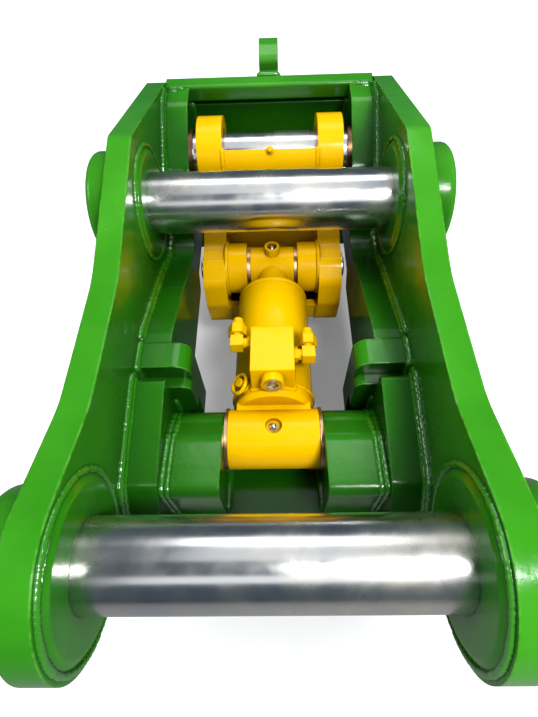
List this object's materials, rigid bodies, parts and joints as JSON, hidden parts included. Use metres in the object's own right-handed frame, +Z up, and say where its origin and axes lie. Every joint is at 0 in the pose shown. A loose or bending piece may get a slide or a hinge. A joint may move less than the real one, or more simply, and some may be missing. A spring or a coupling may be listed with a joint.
{
  "type": "excavator quick coupler",
  "caption": "Hydraulic quick coupler with two machine pins, a fixed front jaw and a cylinder-driven rear hook that locks an attachment's pins.",
  "frame": {"origin": "centre of the stick pin, midway between the side plates", "axes": "+X along the machine pins, +Y from the stick pin towards the link pin and the rear, +Z up, away from the attachment"},
  "size_m": [0.47, 0.8735, 0.3982],
  "materials": {
    "green_enamel": "glossy sprayed enamel",
    "yellow_enamel": "glossy sprayed enamel",
    "ground_steel": "turned and ground bright",
    "hard_chrome": "polished",
    "plated_steel": "zinc plated",
    "bronze": "plain bearing bronze",
    "wiper_rubber": "moulded lip"
  },
  "bodies": {
    "frame": {"base_pin": "ground_steel", "base_pin_rings": "plated_steel", "base_washers": "bronze", "cover_bolts": "plated_steel", "cross_gusset_left": "green_enamel", "cross_gusset_right": "green_enamel", "cylinder_lug_left": "green_enamel", "cylinder_lug_right": "green_enamel", "front_jaw_saddle": "green_enamel", "hook_shaft": "ground_steel", "hook_shims": "bronze", "inner_plate_left": "green_enamel", "inner_plate_right": "green_enamel", "lifting_eye": "green_enamel", "link_boss_left": "green_enamel", "link_boss_right": "green_enamel", "link_collar_left": "green_enamel", "link_collar_right": "green_enamel", "link_pin": "ground_steel", "lug_gusset_left": "green_enamel", "lug_gusset_right": "green_enamel", "rear_cross_plate": "green_enamel", "rear_wrap_plate": "green_enamel", "shaft_covers": "green_enamel", "side_plate_left": "green_enamel", "side_plate_right": "green_enamel", "stick_boss_left": "green_enamel", "stick_boss_right": "green_enamel", "stick_collar_left": "green_enamel", "stick_collar_right": "green_enamel", "stick_pin": "ground_steel"},
    "hook": {"hook_arm_left": "yellow_enamel", "hook_arm_right": "yellow_enamel", "hook_bushes": "bronze", "hook_saddle": "yellow_enamel", "hook_jaw_web": "yellow_enamel", "hook_belly_plate": "yellow_enamel", "rod_boss_left": "yellow_enamel", "rod_boss_right": "yellow_enamel", "rod_pin": "ground_steel", "rod_pin_rings": "plated_steel", "rod_washers": "bronze"},
    "barrel": {"barrel_base": "yellow_enamel", "base_bush": "bronze", "barrel_tube": "yellow_enamel", "gland": "yellow_enamel", "rod_wiper": "wiper_rubber", "valve_block": "yellow_enamel", "valve_cartridge": "yellow_enamel", "elbow_left": "yellow_enamel", "elbow_right": "yellow_enamel", "port_cap_left": "yellow_enamel", "port_cap_right": "yellow_enamel", "base_grease_nipple": "plated_steel", "bleed_plug": "yellow_enamel", "bleed_loop": "yellow_enamel"},
    "rod": {"piston_rod": "hard_chrome", "piston": "plated_steel", "rod_eye": "yellow_enamel", "rod_grease_nipple": "plated_steel"}
  },
  "joints": [
    {"name": "hook_pivot", "type": "hinge", "parent": "frame", "child": "hook", "pos_m": [0, 0.612, -0.036], "axis": [1, 0, 0], "range_deg": [0, 22]},
    {"name": "cylinder_pivot", "type": "hinge", "parent": "frame", "child": "barrel", "pos_m": [0, 0.16, -0.12], "axis": [1, 0, 0], "range_deg": [-7.5, 0]},
    {"name": "rod_slide", "type": "slide", "parent": "barrel", "child": "rod", "axis": [0, 0.9974, -0.0719], "range_m": [0, 0.055]}
  ],
  "couplings": [
    {"joint": "cylinder_pivot", "follows": "hook_pivot", "ratio": -0.3361},
    {"joint": "rod_slide", "follows": "hook_pivot", "m_per_rad": 0.14177}
  ]
}
